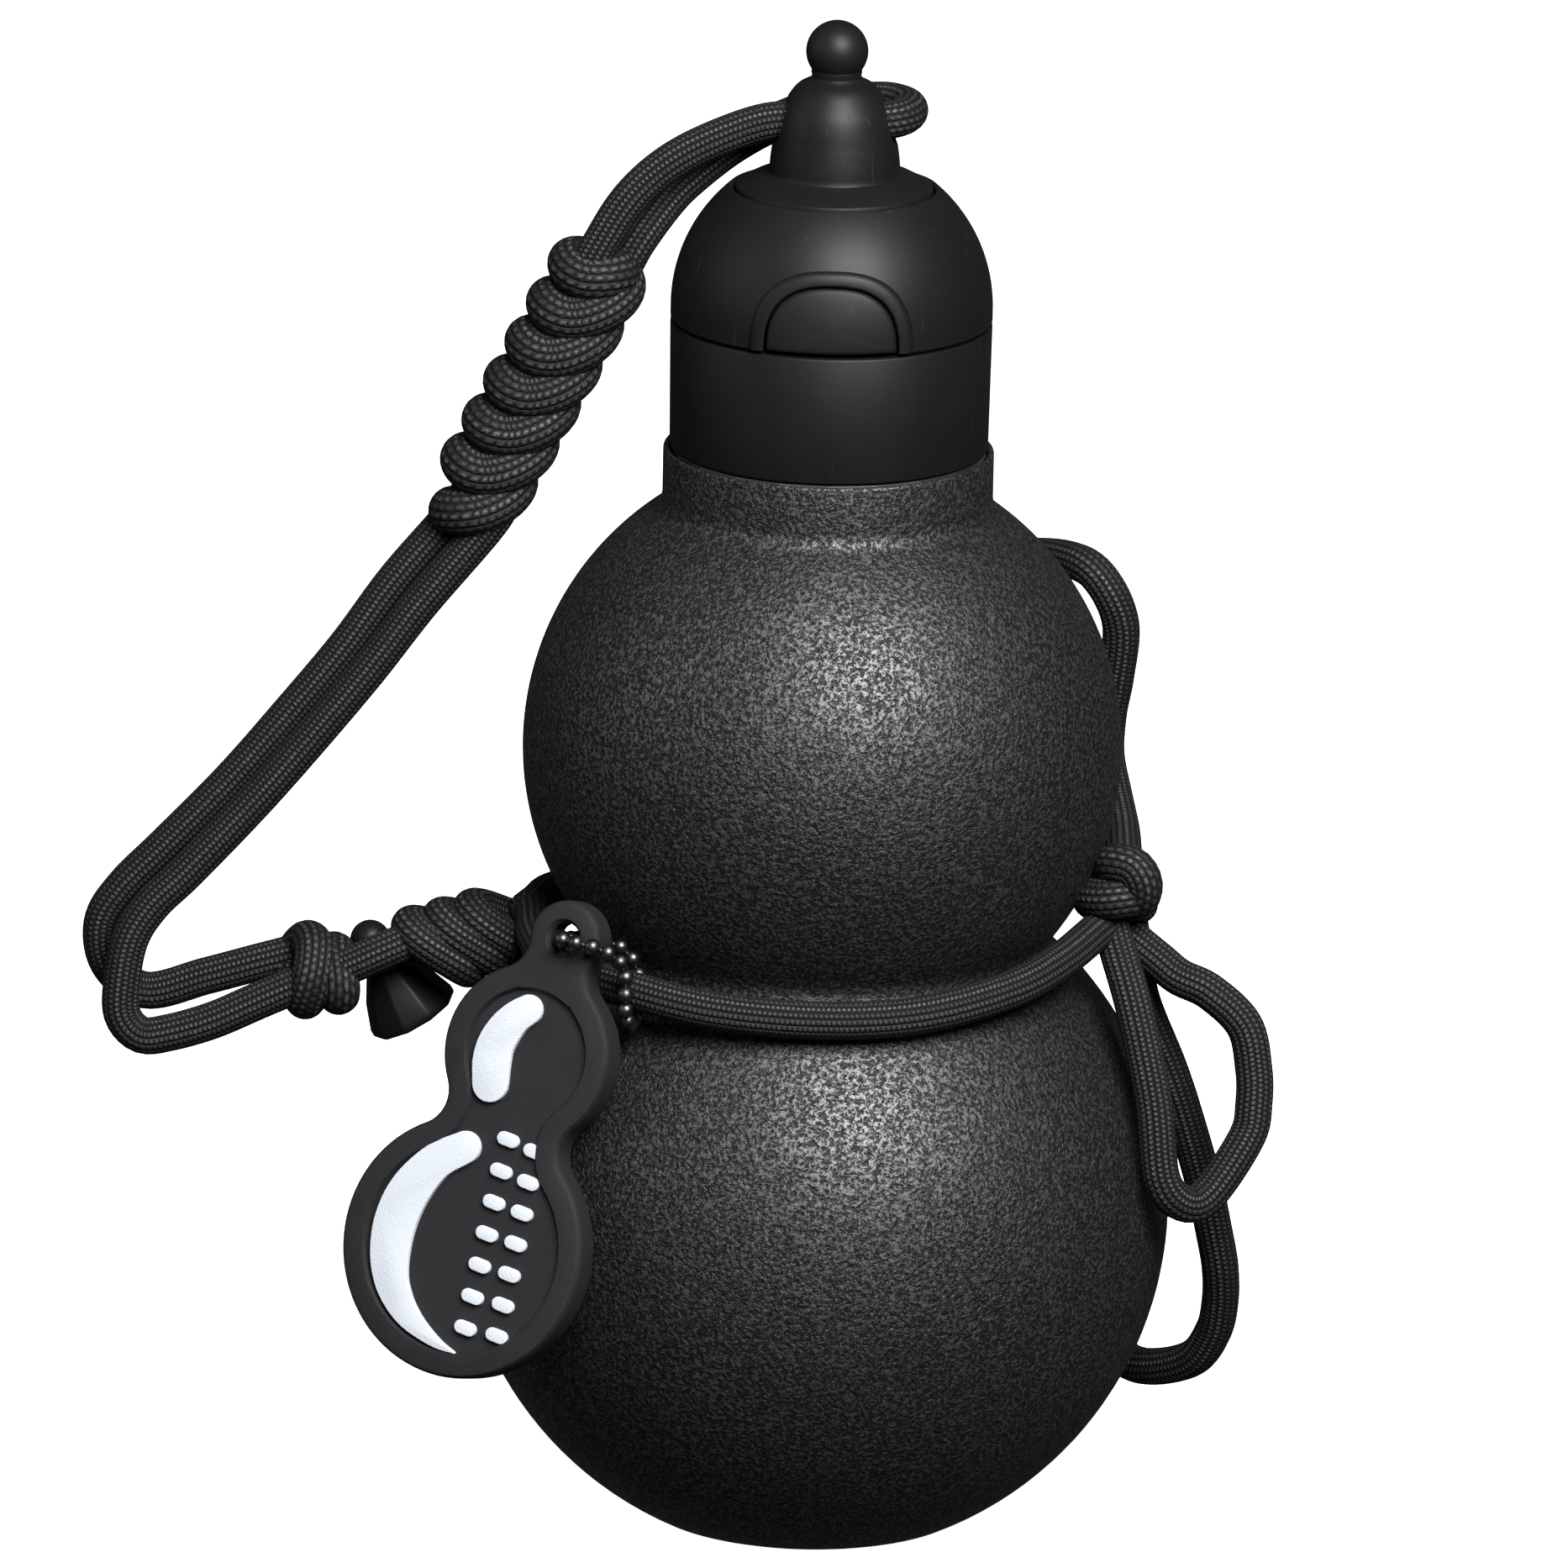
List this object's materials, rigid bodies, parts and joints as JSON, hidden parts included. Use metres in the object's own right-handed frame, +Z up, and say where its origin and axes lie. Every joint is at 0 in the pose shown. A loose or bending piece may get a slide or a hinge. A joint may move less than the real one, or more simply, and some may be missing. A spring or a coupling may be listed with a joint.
{
  "type": "vacuum water bottle",
  "caption": "Gourd-shaped insulated steel water bottle with a flip-up domed lid, push button, knotted cord lanyard and a rubber tag.",
  "frame": {"origin": "centre of the standing ring, on the surface the bottle stands on", "axes": "+Z up along the bottle's axis, -Y towards the push button, +X towards the bow of the waist cord"},
  "size_m": [0.1563, 0.0996, 0.2034],
  "materials": {
    "powder_coat": "coarse textured matt powder coat",
    "steel": "satin",
    "getter_steel": "dull",
    "lid_plastic": "satin matt",
    "liner_plastic": "satin",
    "silicone": "matt",
    "cord": "braided, matt",
    "clip_plastic": "semi-gloss",
    "tag_rubber": "soft matt",
    "tag_white": "soft matt",
    "chain_metal": "dark bead chain"
  },
  "bodies": {
    "bottle": {"outer_shell": "powder_coat", "inner_liner": "steel", "base_plate": "steel", "getter": "getter_steel", "strap_lower_a": "cord", "strap_lower_b": "cord", "stop_knot": "cord", "cord_clip": "clip_plastic", "clip_link": "cord", "slide_knot": "cord", "waist_cord_front": "cord", "waist_cord_rear": "cord", "bow_knot": "cord", "bow_loop_front": "cord", "bow_loop_rear": "cord", "tag_chain": "chain_metal"},
    "lid": {"lid_collar": "lid_plastic", "lid_insert": "liner_plastic", "lid_seal_ring": "silicone", "spout": "liner_plastic", "hinge_pin": "steel", "hinge_spring": "steel", "button_spring": "steel", "snake_knot": "cord"},
    "cover": {"dome_cover": "lid_plastic", "cover_liner": "liner_plastic", "spout_plug": "silicone", "finial": "lid_plastic", "finial_screw": "steel", "strap_top_loop": "cord"},
    "button": {"button": "lid_plastic"},
    "tag": {"tag_body": "tag_rubber", "tag_inlay_upper": "tag_white", "tag_inlay_lower": "tag_white"}
  },
  "joints": [
    {"name": "lid_lift", "type": "slide", "parent": "bottle", "child": "lid", "axis": [0, 0, 1], "range_m": [0, 0.035]},
    {"name": "cover_hinge", "type": "hinge", "parent": "lid", "child": "cover", "pos_m": [0, 0.0236, 0.16309], "axis": [-1, 0, 0], "range_deg": [0, 120]},
    {"name": "button_press", "type": "slide", "parent": "lid", "child": "button", "axis": [0, 1, 0], "range_m": [0, 0.0015], "stiffness_N_per_m": 400, "deforming": ["button_spring"]},
    {"name": "tag_swing", "type": "hinge", "parent": "bottle", "child": "tag", "pos_m": [-0.0324, -0.02999, 0.0862], "axis": [-0.4082, -0.8754, 0.2588], "range_deg": [-25, 0]}
  ]
}
